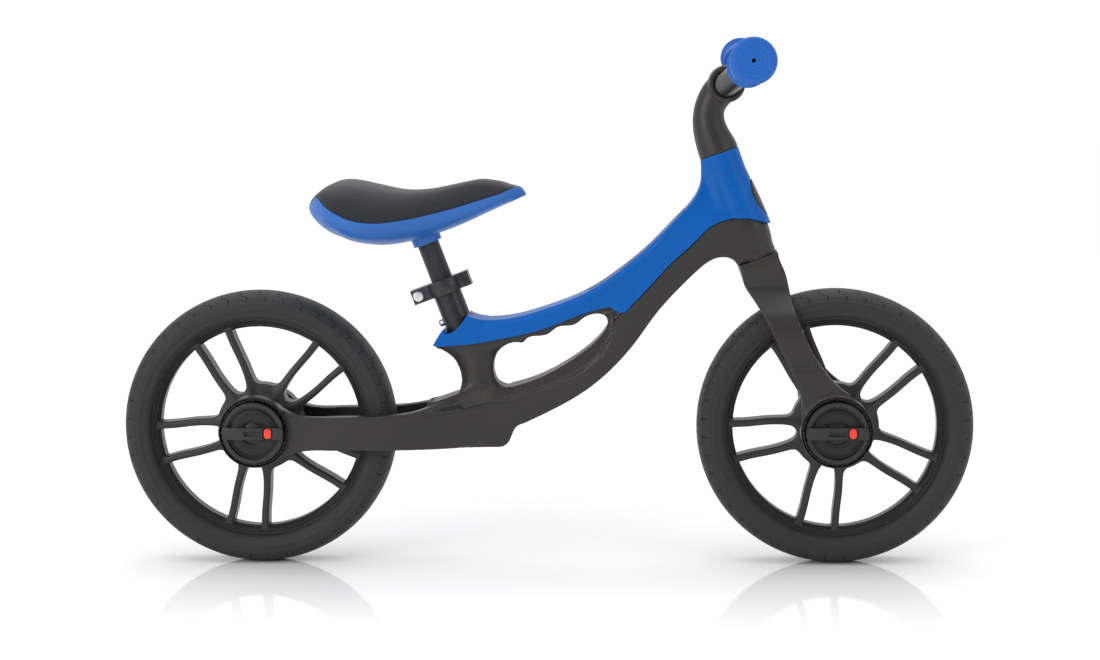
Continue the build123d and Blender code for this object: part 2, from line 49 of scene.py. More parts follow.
class Wire:
    # one output socket, so that maths on it reads like maths
    def __init__(self, graph, socket):
        self.graph = graph
        self.socket = socket

    def maths(self, operation, first, second):
        return self.graph.node("ShaderNodeMath", {"operation": operation}, {0: first, 1: second})

    def __add__(self, other):
        return self.maths("ADD", self, other)

    def __radd__(self, other):
        return self.maths("ADD", other, self)

    def __sub__(self, other):
        return self.maths("SUBTRACT", self, other)

    def __rsub__(self, other):
        return self.maths("SUBTRACT", other, self)

    def __mul__(self, other):
        return self.maths("MULTIPLY", self, other)

    def __rmul__(self, other):
        return self.maths("MULTIPLY", other, self)


class Graph:
    def __init__(self, tree):
        self.tree = tree
        tree.nodes.clear()

    def node(self, kind, settings=None, values=None, out=0):
        made = self.tree.nodes.new(kind)
        for name, value in (settings or {}).items():
            if name == "stops":
                for stop, (place, shade) in zip(made.color_ramp.elements, value):
                    stop.position = place
                    stop.color = (*shade, 1)
            else:
                setattr(made, name, value)
        for name, value in (values or {}).items():
            if isinstance(value, Wire):
                self.tree.links.new(value.socket, made.inputs[name])
            else:
                made.inputs[name].default_value = value
        return Wire(self, made.outputs[out]) if len(made.outputs) else None

    def axes(self, source):
        # the x, y and z of a vector
        split = self.node("ShaderNodeSeparateXYZ", None, {0: source})
        return [Wire(self, socket) for socket in split.socket.node.outputs]


finishes = {
    "frame_black": dict(colour=(0.0205, 0.0193, 0.0183), rough=0.42, grain=0.45, depth=0.03),
    "cover_blue": dict(colour=(0.0002, 0.094, 0.385), rough=0.4, grain=0.5, depth=0.014, shine=0.16),
    "saddle_blue": dict(colour=(0.014, 0.118, 0.42), rough=0.40, grain=0.6, depth=0.02),
    "trim_black": dict(colour=(0.012, 0.012, 0.012), rough=0.36, grain=0.5, depth=0.012),
    "clamp_black": dict(colour=(0.02, 0.02, 0.021), rough=0.3, grain=0.4, depth=0.01),
    # dial_black's recess entry paints shade into the dial's well: two depths in mm and how dark it goes
    "dial_black": dict(colour=(0.018, 0.0172, 0.0166), rough=0.4, grain=0.4, depth=0.02,
                       recess=(-47.4, -45.6, 0.25)),
    "wheel_black": dict(colour=(0.019, 0.0183, 0.0177), rough=0.4, grain=0.5, depth=0.025),
    "bush_grey": dict(colour=(0.11, 0.11, 0.11), rough=0.45, grain=0.5, depth=0.01),
    "button_red": dict(colour=(0.9, 0.05, 0.022), rough=0.3, grain=0.6, depth=0.006),
    "grip_blue": dict(colour=(0.002, 0.098, 0.42), rough=0.5, grain=0.35, depth=0.03),
}


class Paint(Graph):
    # a material being mixed: noise, colour, bump and the final shader
    def __init__(self, name):
        self.material = bpy.data.materials.new(name)
        self.material.use_nodes = True
        super().__init__(self.material.node_tree)
        self.place = self.node("ShaderNodeTexCoord", out=3)

    def noise(self, size, detail=3.0, rough=0.55):
        values = {"Vector": self.place, "Scale": 1 / (size * mm), "Detail": detail, "Roughness": rough}
        return self.node("ShaderNodeTexNoise", None, values)

    def ramp(self, factor, *stops):
        return self.node("ShaderNodeValToRGB", {"stops": stops}, {0: factor})

    def blend(self, factor, first, second):
        return self.node("ShaderNodeMix", {"data_type": "RGBA"}, {0: factor, 6: first, 7: second}, out=2)

    def bump(self, height, depth, under=None):
        values = {"Height": height, "Distance": depth * mm}
        if under:
            values["Normal"] = under
        return self.node("ShaderNodeBump", None, values)

    def finish(self, **values):
        values = {name.replace("_", " "): value for name, value in values.items()}
        shader = self.node("ShaderNodeBsdfPrincipled", None, values)
        self.node("ShaderNodeOutputMaterial", None, {0: shader})
        return self.material


def tinted(colour, share):
    return (*[min(1, part * share) for part in colour], 1)


def mouldedPlastic(name, colour, rough, grain, depth, recess=None, shine=0.42):
    # spark-eroded mould grain, faint flow clouds and sharp convex edges made a little lighter
    paint = Paint(name)
    fine = paint.noise(grain, 4.0)
    clouds = paint.noise(35.0, 2.0)
    edge = paint.node("ShaderNodeNewGeometry", out=7)
    lighterEdges = paint.ramp(edge, (0.5, (0, 0, 0)), (0.62, (1, 1, 1)))
    base = paint.blend(clouds, tinted(colour, 0.88), tinted(colour, 1.12))
    # colour lifted on convex edges, taken from the surface's pointiness
    base = paint.blend(lighterEdges * 0.25, base, tinted(colour, 1.7))
    if recess:   # painted shade: the dial's well is darkened between these depths, standing in for the shadow in the recess
        start, end, share = recess
        across = paint.axes(paint.place)[1]
        wellShade = [paint.node("ShaderNodeMapRange", None,
                            {0: across, 1: low * mm, 2: high * mm, 3: 0.0, 4: 1.0})
                 for low, high in ((start, end), (-36.0, -38.0))]
        base = paint.blend(wellShade[0] * wellShade[1], base, tinted(colour, share))
    return paint.finish(Base_Color=base, Roughness=fine * 0.12 + clouds * 0.08 + (rough - 0.1),
                        Specular_IOR_Level=shine, Normal=paint.bump(fine, depth))


def frameBlack(name, colour, rough, grain, depth):
    # the same plastic with the crossed grip cuts moulded into the marked band
    paint = Paint(name)
    fine = paint.noise(grain, 4.0)
    clouds = paint.noise(35.0, 2.0)
    axes = paint.axes(paint.place)
    pitch = 2 * math.pi / (1.5 * mm)
    cuts = []
    for side in (1, -1):
        angle = (axes[0] * (0.55 * side) + axes[2]) * pitch
        wave = paint.node("ShaderNodeMath", {"operation": "SINE"}, {0: angle})
        cuts.append(wave * 0.5 + 0.5)
    band = paint.node("ShaderNodeAttribute", {"attribute_name": "gripCuts"}, out=2)
    crossed = (cuts[0] + cuts[1]) * band
    base = paint.blend(clouds, tinted(colour, 0.88), tinted(colour, 1.12))
    # painted highlight: the crests of the crossed cuts are painted lighter, as light catching the ridges
    base = paint.blend(crossed * 0.45, base, tinted(colour, 1.9))
    normal = paint.bump(crossed, 0.35, paint.bump(fine, depth))
    return paint.finish(Base_Color=base, Roughness=fine * 0.12 + clouds * 0.08 + (rough - 0.1),
                        Specular_IOR_Level=0.42, Normal=normal)


def tyreRubber(name):
    paint = Paint(name)
    fine = paint.noise(0.5, 4.0)
    dust = paint.noise(14.0, 4.0, 0.65)
    base = paint.blend(dust, (0.0145, 0.0145, 0.0142, 1), (0.023, 0.0225, 0.022, 1))
    return paint.finish(Base_Color=base, Roughness=dust * 0.2 + 0.5, Specular_IOR_Level=0.4,
                        Normal=paint.bump(fine, 0.04))


def padCloth(name):
    # a tight knit over foam: small rounded stitches in slanting rows, with a soft nap
    paint = Paint(name)
    stitch = paint.node("ShaderNodeMapping", None, {"Vector": paint.place, "Rotation": (0, 0, 0.6),
                                                     "Scale": (1.0, 1.7, 1.0)})
    cells = paint.node("ShaderNodeTexVoronoi", {"feature": "F1"},
                       {"Vector": stitch, "Scale": 1 / (1.1 * mm), "Randomness": 0.25})
    nap = paint.noise(0.4, 3.0)
    clouds = paint.noise(22.0, 3.0)
    base = paint.blend(clouds, (0.016, 0.017, 0.025, 1), (0.026, 0.027, 0.038, 1))
    # painted shade: the knit is painted darker towards the gaps between stitches
    base = paint.blend(cells * 0.8, base, (0.016, 0.015, 0.022, 1))
    normal = paint.bump(1 - cells, 0.22, paint.bump(nap, 0.08))
    return paint.finish(Base_Color=base, Roughness=nap * 0.1 + 0.82, Specular_IOR_Level=0.25,
                        Sheen_Weight=0.25, Sheen_Roughness=0.5, Normal=normal)


def paintedSteel(name, turned=False):
    # black lacquer on tube; the turned version has fine crossed tool marks under it
    paint = Paint(name)
    fine = paint.noise(0.8, 3.0)
    flow = paint.noise(18.0, 3.0)
    base = paint.blend(flow, (0.012, 0.0115, 0.013, 1), (0.02, 0.019, 0.022, 1))
    height = fine * 0.3
    if turned:
        axes = paint.axes(paint.node("ShaderNodeTexCoord", out=2))
        for side in (1, -1):
            angle = (axes[0] * (side * 26.0) + axes[1] * 62.0) * (2 * math.pi)
            height = height + paint.node("ShaderNodeMath", {"operation": "SINE"}, {0: angle}) * 0.4
        # painted highlight: the crests of the tool marks are painted lighter, as light catching them; the marks'
        # bump itself is real
        base = paint.blend(height * 0.6, base, (0.16, 0.155, 0.175, 1))
    return paint.finish(Base_Color=base, Metallic=0.1, Roughness=flow * 0.1 + 0.3,
                        Specular_IOR_Level=0.4, Normal=paint.bump(height, 0.3 if turned else 0.04))


def zincSteel(name):
    paint = Paint(name)
    spangle = paint.node("ShaderNodeTexVoronoi", {"feature": "F1"}, {"Vector": paint.place, "Scale": 900.0})
    fine = paint.noise(0.6, 4.0)
    base = paint.blend(spangle, (0.62, 0.64, 0.66, 1), (0.8, 0.81, 0.82, 1))
    return paint.finish(Base_Color=base, Metallic=1.0, Roughness=fine * 0.15 + 0.24,
                        Normal=paint.bump(fine, 0.01))


paints = {name: mouldedPlastic(name, **look) for name, look in finishes.items() if name != "frame_black"}
paints["frame_black"] = frameBlack("frame_black", **finishes["frame_black"])
paints["tyre_black"] = tyreRubber("tyre_black")
paints["pad_cloth"] = padCloth("pad_cloth")
paints["steel_black"] = paintedSteel("steel_black")
paints["zinc_steel"] = zincSteel("zinc_steel")
postSteel = paintedSteel("post_steel", turned=True)
print("finishes mixed:", len(paints) + 1)


def newPiece(name, points, faces):
    mesh = bpy.data.meshes.new(name)
    mesh.from_pydata((np.asarray(points, float) * mm).tolist(), [], faces)
    piece = bpy.data.objects.new(name, mesh)
    bpy.context.scene.collection.objects.link(piece)
    return piece


def reworked(piece, change):
    # one change made to the piece's mesh
    work = bmesh.new()
    work.from_mesh(piece.data)
    change(work)
    work.to_mesh(piece.data)
    work.free()
    return piece


def tidied(piece, distance=0.01):
    # doubles merged, then normals turned outwards
    def change(work):
        bmesh.ops.remove_doubles(work, verts=work.verts, dist=distance * mm)
        bmesh.ops.dissolve_degenerate(work, edges=work.edges, dist=distance * mm)
        bmesh.ops.recalc_face_normals(work, faces=work.faces)

    return reworked(piece, change)


def settled(piece):
    # the evaluated result becomes a plain mesh and every modifier goes
    bpy.context.view_layer.update()
    graph = bpy.context.evaluated_depsgraph_get()
    mesh = bpy.data.meshes.new_from_object(piece.evaluated_get(graph), depsgraph=graph)
    piece.modifiers.clear()
    old = piece.data
    piece.data = mesh
    bpy.data.meshes.remove(old)
    mesh.name = piece.name
    return piece


def joined(piece, *others):
    # several closed shells as one piece
    work = bmesh.new()
    for part in (piece, *others):
        work.from_mesh(part.data)
    work.to_mesh(piece.data)
    work.free()
    for part in others:
        bpy.data.objects.remove(part)
    return piece


def cadCopy(node, name):
    # a CAD node's triangles with their doubles merged
    mesh = nodes[node].data
    spots = np.empty(len(mesh.vertices) * 3, np.float32)
    mesh.vertices.foreach_get("co", spots)
    corners = np.empty(len(mesh.loops), np.int32)
    mesh.loops.foreach_get("vertex_index", corners)
    grid = np.round(spots.reshape(-1, 3) * 1e6).astype(np.int64)
    places, back = np.unique(grid, axis=0, return_inverse=True)
    faces = back.ravel()[corners].reshape(-1, 3)
    whole = (faces[:, 0] != faces[:, 1]) & (faces[:, 1] != faces[:, 2]) & (faces[:, 2] != faces[:, 0])
    return newPiece(name, places * 1e-3, faces[whole].tolist())


def pointsOf(piece):
    flat = np.empty(len(piece.data.vertices) * 3)
    piece.data.vertices.foreach_get("co", flat)
    return flat.reshape(-1, 3) / mm


def setPoints(piece, points):
    piece.data.vertices.foreach_set("co", (points * mm).ravel())
    piece.data.update()


def skinned(piece, voxel):
    # one even skin over everything in the piece
    skin = piece.modifiers.new("skin", "REMESH")
    skin.mode = "VOXEL"
    skin.voxel_size = voxel * mm
    return settled(piece)


def relaxed(piece, rounds, share=None, back=-0.61):
    # smooths without shrinking; share is how much each point may move, and a weaker back rounds edges off
    points = pointsOf(piece)
    ends = np.empty(len(piece.data.edges) * 2, np.int32)
    piece.data.edges.foreach_get("vertices", ends)
    first, second = ends.reshape(-1, 2).T
    count = len(points)
    near = np.bincount(first, minlength=count) + np.bincount(second, minlength=count)
    share = np.ones(count) if share is None else share
    for step in range(rounds):
        for pull in (0.6, back):
            total = np.stack([np.bincount(first, points[second, axis], count) +
                              np.bincount(second, points[first, axis], count) for axis in range(3)], 1)
            points += (total / near[:, None] - points) * (pull * share)[:, None]
    setPoints(piece, points)
    return piece


def cut(piece, *tools):
    for tool in tools:
        cutter = piece.modifiers.new("cut", "BOOLEAN")
        cutter.operation = "DIFFERENCE"
        cutter.solver = "MANIFOLD"
        cutter.object = tool
        settled(piece)
        bpy.data.objects.remove(tool)
    return piece


def shaded(piece, angle=32):
    # a face with many corners is filled differently as it turns, so each is split into triangles first
    reworked(piece, lambda work: bmesh.ops.triangulate(
        work, faces=[face for face in work.faces if len(face.verts) > 4]))
    piece.data.shade_smooth()
    piece.data.set_sharp_from_angle(angle=math.radians(angle))
    return piece


def fitted(piece, body, node, paint=None):
    # the last step for every new piece: finish, body, and the CAD node that it stands for
    slot = slots[node]
    piece.data.materials.clear()
    piece.data.materials.append(paint or paints[slot])
    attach(piece, body)
    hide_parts(node)
    return piece


def curveThrough(points, steps=8):
    # a smooth line through the points (Catmull-Rom)
    spots = np.array(points, float)
    spots = np.vstack([2 * spots[0] - spots[1], spots, 2 * spots[-1] - spots[-2]])
    line = []
    for one, two, three, four in zip(spots, spots[1:], spots[2:], spots[3:]):
        for t in np.arange(steps) / steps:
            line.append(0.5 * (2 * two + (three - one) * t + (2 * one - 5 * two + 4 * three - four) * t * t
                               + (3 * two - one - 3 * three + four) * t ** 3))
    return np.array(line + [spots[-2]])


def eased(outline, radius, steps=3, closed=True):
    # an outline with its corners rounded
    spots = np.array(outline, float)
    line = []
    for at, spot in enumerate(spots):
        if not closed and at in (0, len(spots) - 1):
            line.append(spot)
            continue
        before, after = spots[at - 1], spots[(at + 1) % len(spots)]
        back, on = before - spot, after - spot
        reach = min(radius, 0.42 * np.linalg.norm(back), 0.42 * np.linalg.norm(on))
        start = spot + back / np.linalg.norm(back) * reach
        end = spot + on / np.linalg.norm(on) * reach
        for t in np.arange(steps + 1) / steps:
            line.append(start * (1 - t) ** 2 + spot * 2 * t * (1 - t) + end * t * t)
    return np.array(line)


def bands(rings, count, closed=False):
    # the quads between one ring of points and the next
    faces = []
    for ring in range(rings if closed else rings - 1):
        after = (ring + 1) % rings
        for at in range(count):
            on = (at + 1) % count
            faces.append((ring * count + at, ring * count + on, after * count + on, after * count + at))
    return faces


def lathe(name, profile, centre, axis, steps=96, span=None):
    # a closed profile of (radius, height) turned about an axis, all round or over a span in degrees
    axis = np.array(Vector(axis).normalized())
    side = np.array((1, 0, 0)) if abs(axis[1]) > 0.9 else np.array((0, 1, 0))
    side = side - axis * side.dot(axis)
    side = side / np.linalg.norm(side)
    other = np.cross(axis, side)
    turns = np.arange(steps) * 2 * math.pi / steps
    if span:
        turns = np.radians(np.linspace(*span, steps))
    profile = np.array(profile, float)
    rows = len(profile)
    points = [np.array(centre) + axis * height + radius * (side * math.cos(a) + other * math.sin(a))
              for a in turns for radius, height in profile]
    faces = bands(steps, rows, closed=not span)
    if span:
        faces += [tuple(range(rows)), tuple((steps - 1) * rows + row for row in range(rows))]
    return tidied(newPiece(name, points, faces))


def rod(name, radius, low, high, centre, axis, steps=64):
    return lathe(name, [(0, low), (radius, low), (radius, high), (0, high)], centre, axis, steps)


def farFrom(points, path):
    # distance of each flat point from a line of points
    best = np.full(len(points), 1e9)
    for start, end in zip(path, path[1:]):
        run = end - start
        t = np.clip(((points - start) @ run) / max(run @ run, 1e-9), 0, 1)
        best = np.minimum(best, np.linalg.norm(points - start - t[:, None] * run, axis=1))
    return best


def above(points, path):
    # whether each flat point lies over a line that runs along x
    path = path[np.argsort(path[:, 0])]
    return points[:, 1] > np.interp(points[:, 0], path[:, 0], path[:, 1])


def smoothStep(t):
    t = np.clip(t, 0, 1)
    return t * t * (3 - 2 * t)


def repeatTree():
    tree = bpy.data.node_groups.new("repeatPiece", "GeometryNodeTree")
    face = tree.interface
    face.new_socket("Piece", in_out="INPUT", socket_type="NodeSocketGeometry")
    face.new_socket("Count", in_out="INPUT", socket_type="NodeSocketInt")
    for label in ("Pivot", "Turn Step", "Move Step"):
        face.new_socket(label, in_out="INPUT", socket_type="NodeSocketVector")
    face.new_socket("Finish", in_out="INPUT", socket_type="NodeSocketMaterial")
    face.new_socket("Repeated", in_out="OUTPUT", socket_type="NodeSocketGeometry")
    graph = Graph(tree)
    given = graph.node("NodeGroupInput")
    sockets = given.socket.node.outputs
    count, pivot, turnStep, moveStep, finish = [Wire(graph, sockets[at]) for at in range(1, 6)]

    def vector(operation, first, second):
        return graph.node("ShaderNodeVectorMath", {"operation": operation}, {0: first, 1: second})

    index = graph.node("GeometryNodeInputIndex")
    spot = vector("ADD", pivot, vector("MULTIPLY", moveStep, index))
    marks = graph.node("GeometryNodePoints", None, {"Count": count, "Position": spot})
    back = vector("MULTIPLY", pivot, (-1, -1, -1))
    centred = graph.node("GeometryNodeTransform", None, {"Geometry": given, "Translation": back})
    instance = graph.node("GeometryNodeGeometryToInstance", None, {0: centred})
    copies = graph.node("GeometryNodeInstanceOnPoints", None,
                        {"Points": marks, "Instance": instance,
                         "Rotation": vector("MULTIPLY", turnStep, index)})
    solid = graph.node("GeometryNodeRealizeInstances", None, {0: copies})
    merged = graph.node("GeometryNodeMergeByDistance", None, {"Geometry": solid, "Distance": 0.02 * mm})
    done = graph.node("GeometryNodeSetMaterial", None, {"Geometry": merged, "Material": finish})
    graph.node("NodeGroupOutput", None, {0: done})
    return tree


repeatPiece = repeatTree()


def repeated(piece, count, finish, pivot=(0, 0, 0), turn=(0, 0, 0), move=(0, 0, 0)):
    array = piece.modifiers.new("repeat", "NODES")
    array.node_group = repeatPiece
    given = {"Count": count, "Pivot": [part * mm for part in pivot], "Turn Step": turn,
             "Move Step": [part * mm for part in move], "Finish": finish}
    for item in repeatPiece.interface.items_tree:
        if item.name in given:
            array[item.identifier] = given[item.name]
    return settled(piece)


steerAt = Vector(joints["steering_turn"]["pos_m"]) / mm
steerUp = Vector(joints["steering_turn"]["axis"])
seatUp = Vector(joints["seat_height"]["axis"])
seatAt = Vector((-94, 0, 260))   # heights along the seat tube are measured from here
hubs = {name: Vector(joints[name + "_wheel_spin"]["pos_m"]) / mm for name in ("front", "rear")}
wheelAxis = (0, 1, 0)


def alongHead(points):
    return (points - np.array(steerAt)) @ np.array(steerUp)


def fromAxle(points, end):
    at = hubs[end]
    return np.linalg.norm(points[:, [0, 2]] - np.array((at.x, at.z)), axis=1)


frameLook = dict(
    skin=1.25, rounds=14,
    bandHalf=20.2, bandFall=0.34, bandReach=15, coreHalf=16.4,
    footLine=[(-110, 108), (-85, 110.5), (-60, 114.5), (-40, 121), (-20, 131.5)], footBack=2.2,
    waves=[(-26, 208), (-20, 205.5), (-12, 212), (2, 213.5), (12, 220.5), (27, 222.5), (36, 229),
           (47, 232.7)],
    waveRounds=14,
    crease=[(64, 226), (61, 212), (50, 194), (40, 185), (20, 173), (0, 165), (-20, 158), (-40, 153),
            (-60, 149), (-80, 144.5), (-110, 140)],
    coverTop=[(-71, 232.5), (-65, 229.6), (-55, 227.8), (-40, 228), (-20, 231.5), (0, 237.5), (20, 244.5),
              (40, 253.5), (60, 266), (80, 281), (100, 298.5), (120, 319), (135, 335), (142, 348)],
    crownReach=4.5, crownShare=0.3, crownEnd=122,
    pillarRear=[(159, -80), (168, -77.5), (180, -79), (190, -84), (198.5, -94)],
    pillarFront=[(164.5, -35), (169, -44), (181, -48), (196.5, -44), (204, -36)],
    pillarLow=158, pillarHigh=206, pillarBlend=14, pillarRound=0.9,
    pocket=31.2, bossFace=44, pocketFloor=36.5, headHalf=49.7,
)


def hubTool(name, at, look=frameLook):
    # axle bore, dial socket and both pockets of a hub, with a rounded lip
    pocket, face, floor = look["pocket"], look["bossFace"], look["pocketFloor"]
    lip = [(pocket + 1.2, face + 1), (pocket + 0.7, face - 0.4), (pocket, face - 1.6), (pocket, floor)]
    half = [(0, -face - 1)] + [(radius, -y) for radius, y in lip]
    bore = [(6.1, -floor), (6.1, -29.8), (4.05, -29.8), (4.05, 33.5), (9.05, 33.5), (9.05, floor)]
    return lathe(name, half + bore + lip[::-1] + [(0, face + 1)], at, wheelAxis, 128)


def hubFill(name, at, look=frameLook):
    face, floor = look["bossFace"], look["pocketFloor"]
    fills = [rod(name, look["pocket"] + 0.5, side * (floor - 1), side * face, at, wheelAxis, 128)
             for side in (-1, 1)]
    fills += [rod(name, 10, side * 17.5, side * face, at, wheelAxis) for side in (-1, 1)]
    return fills


def crowned(points, look=frameLook):
    # the beam's top edge is rounded off across its width
    flat = points[:, [0, 2]]
    top = curveThrough(look["coverTop"])
    depth = farFrom(flat, top) / look["crownReach"]
    inside = np.clip(1 - depth, 0, 1) * smoothStep((points[:, 0] + 66) / 14)
    inside = inside * smoothStep((look["crownEnd"] - points[:, 0]) / 24)
    points[:, 1] *= np.sqrt(1 - look["crownShare"] * inside ** 2)
    return points


def shapeFrame(piece, look):
    points = pointsOf(piece)
    flat = points[:, [0, 2]]
    crease = curveThrough(look["crease"])
    rise = farFrom(flat, crease)
    half = np.abs(points[:, 1])
    side = np.sign(points[:, 1])
    band = above(flat, crease) & (points[:, 0] > -108) & (points[:, 0] < 64) & (rise < look["bandReach"])
    outer = band & (half > 15.5) & (half < 19.5)
    slope = look["bandHalf"] - look["bandFall"] * rise
    points[outer, 1] = (side * slope)[outer]
    # each stay's top narrows into the column, down to the band's own surface
    target = np.maximum(slope, look["coreHalf"])
    stay = above(flat, crease) & (points[:, 0] > -118) & (points[:, 0] < -74) & (half > target)
    narrow = smoothStep((points[:, 0] + 114) / 34) * smoothStep(rise / 5)
    points[stay, 1] = (side * (target + (half - target) * (1 - narrow)))[stay]
    # the foot block stands back a little under the panel
    footLine = np.interp(points[:, 0], *np.array(look["footLine"]).T)
    foot = smoothStep((footLine - points[:, 2]) / 2.5) * smoothStep((points[:, 0] + 108) / 20)
    foot = foot * smoothStep((-16 - points[:, 0]) / 5) * smoothStep((half - 14) / 3)
    points[:, 1] -= side * foot * look["footBack"]
    # the pillar under the seat is round
    blend = look["pillarBlend"]
    behind, front = [np.interp(points[:, 2], *np.array(look[name]).T)
                     for name in ("pillarRear", "pillarFront")]
    reach = (front - behind) / 2
    away = np.abs(points[:, 0] - (front + behind) / 2)
    tall = smoothStep((points[:, 2] - look["pillarLow"]) / blend)
    tall = tall * smoothStep((look["pillarHigh"] - points[:, 2]) / blend)
    share = tall * smoothStep((reach + 4 - away) / 2)
    girth = np.sqrt(1 - np.clip(away / (reach + 1), 0, 1) ** 2 * look["pillarRound"])
    points[:, 1] *= 1 - share * (1 - girth * 0.95)
    setPoints(piece, crowned(points, look))
    marks = piece.data.attributes.new("gripCuts", "FLOAT", "POINT")
    edge = smoothStep((rise - 2.0) / 1.5) * smoothStep((look["bandReach"] - rise) / 3)
    edge = edge * smoothStep((half - 12) / 1.5) * smoothStep((points[:, 0] + 64) / 24)
    marks.data.foreach_set("value", np.where(above(flat, crease) & (points[:, 0] > -66) & (points[:, 0] < 60)
                                             & (points[:, 2] < 232), edge, 0).astype(np.float32))


def buildFrame(look=frameLook):
    rear = hubs["rear"]
    piece = joined(cadCopy("main_frame", "mainFrame"), *hubFill("hubFill", rear),
                   rod("headFill", 17.2, -look["headHalf"], -40, steerAt, steerUp),
                   rod("headFill", 14, -look["headHalf"], look["headHalf"], steerAt, steerUp))
    skinned(piece, look["skin"])
    points = pointsOf(piece)
    fromHub = fromAxle(points, "rear")
    along = alongHead(points)
    still = smoothStep((fromHub - 30) / 12) * smoothStep((look["headHalf"] - 1.5 - np.abs(along)) / 2)
    still = np.where((points[:, 0] > 60) | (points[:, 0] < -200), np.maximum(still, 0.15), 1)
    relaxed(piece, look["rounds"], still)
    shapeFrame(piece, look)
    points = pointsOf(piece)
    pillar = smoothStep((points[:, 0] + 106) / 8) * smoothStep((-26 - points[:, 0]) / 8)
    relaxed(piece, 4, still)
    relaxed(piece, 12, still * pillar * smoothStep((points[:, 2] - 136) / 6))
    wave = farFrom(points[:, [0, 2]], curveThrough(look["waves"]))
    relaxed(piece, look["waveRounds"], smoothStep((6 - wave) / 3), -0.35)
    slotWalls = [(14.4, -51), (17.1, -51), (17.1, -45.6), (14.4, -45.6)]
    skirt = [(17.3, -47), (18.9, -47), (18.9, -50.9), (17.3, -50.9)]   # closes on the fork's crown
    cut(piece, hubTool("hubTool", rear), rod("boreTool", 13.5, -60, 60, steerAt, steerUp, 96),
        rod("tubeTool", 13.02, -131, 30, seatAt, seatUp, 96),
        lathe("slotTool", slotWalls, steerAt, steerUp, 48, span=(-165, -15)))
    joined(piece, lathe("skirt", eased(skirt, 0.4), steerAt, steerUp))
    return fitted(shaded(piece, 40), "frame", "main_frame")


buildFrame()
print("main frame built")


coverLook = dict(
    skin=1.05, rounds=6,
    split=[(180, 320), (170, 319.5), (160, 316.5), (150, 311), (140, 301), (120, 283), (100, 262), (80, 241),
           (75.5, 235.8)],
    foldReach=12.5, foldHalf=20.5, flare=1.3, foldStart=62, foldRun=26, headRounds=40,
    collar=[(15.9, 46), (18.25, 46), (18.25, 50.9), (15.9, 50.9)],   # closes on the stem
)


def buildCover(look=coverLook):
    piece = skinned(cadCopy("frame_cover", "frameCover"), look["skin"])
    relaxed(piece, look["rounds"])
    points = pointsOf(piece)
    away = farFrom(points[:, [0, 2]], curveThrough(look["split"]))
    half = np.abs(points[:, 1])
    start = smoothStep((points[:, 0] - look["foldStart"]) / look["foldRun"])
    share = smoothStep((half - 19.3) / 1.2) * smoothStep((168 - points[:, 0]) / 25) * start
    fold = np.clip(1 - away / look["foldReach"], 0, 1)
    wanted = look["foldHalf"] + look["flare"] * fold
    points[:, 1] += np.sign(points[:, 1]) * (wanted - half) * share * (away < 40)
    setPoints(piece, crowned(points))
    relaxed(piece, 2)
    along = alongHead(points)
    head = smoothStep((points[:, 0] - 112) / 20) * smoothStep((along + 20) / 10)
    relaxed(piece, look["headRounds"], head * smoothStep((48.5 - along) / 4))
    cut(piece, rod("tubeTool", 13.6, -131, 60, seatAt, seatUp, 96))
    joined(piece, lathe("collar", eased(look["collar"], 0.4), steerAt, steerUp))
    return fitted(shaded(piece, 40), "frame", "frame_cover")


buildCover()
print("cover built")


forkLook = dict(skin=1.15, rounds=10, bulgeAt=-58, bulge=0.05, neckHeight=257, neck=0.06)


def buildFork(look=forkLook):
    front = hubs["front"]
    piece = joined(cadCopy("fork", "frontFork"), *hubFill("hubFill", front),
                   rod("boreFill", 12, -88, -51.2, steerAt, steerUp))   # ends inside the crown, clear of the tyre
    skinned(piece, look["skin"])
    points = pointsOf(piece)
    fromHub = fromAxle(points, "front")
    along = alongHead(points)
    still = smoothStep((fromHub - 30) / 12) * smoothStep((-52 - along) / 2)
    relaxed(piece, look["rounds"], still)
    points = pointsOf(piece)
    along = alongHead(points)
    swell = look["bulge"] * np.exp(-((along - look["bulgeAt"]) / 6) ** 2)
    swell = swell - look["neck"] * np.exp(-((points[:, 2] - look["neckHeight"]) / 7) ** 2)
    points[:, 1] *= 1 + swell * (along < -51.5)
    setPoints(piece, points)
    relaxed(piece, 3, still)
    cut(piece, hubTool("hubTool", front), rod("boreTool", 11.1, -72, -40, steerAt, steerUp),
        rod("boltTool", 4.1, -81, -70, steerAt, steerUp, 32),
        rod("headTool", 7.5, -104, -80, steerAt, steerUp, 48))
    return fitted(shaded(piece, 40), "steering", "fork")


stemLook = dict(skin=0.95, rounds=10, barAt=(166.5, 0, 441.3), barRadius=11.1)


def buildStem(look=stemLook):
    piece = joined(cadCopy("stem", "stem"),
                   rod("barFill", look["barRadius"] + 1, -28, 28, look["barAt"], wheelAxis),
                   rod("boreFill", 12, 51.2, 77, steerAt, steerUp))
    skinned(piece, look["skin"])
    points = pointsOf(piece)
    along = alongHead(points)
    still = smoothStep((along - 51.6) / 2)
    relaxed(piece, look["rounds"], still)
    lip = [(0, -40), (14.4, -40), (13.2, -28.4), (look["barRadius"] + 0.02, -26.4)]
    hole = lip + [(radius, -y) for radius, y in lip[::-1]]
    cut(piece, lathe("barTool", hole, look["barAt"], wheelAxis),
        rod("boreTool", 11.1, 40, 76, steerAt, steerUp))
    return fitted(shaded(piece, 40), "steering", "stem")


buildFork()
buildStem()
print("fork and stem built")


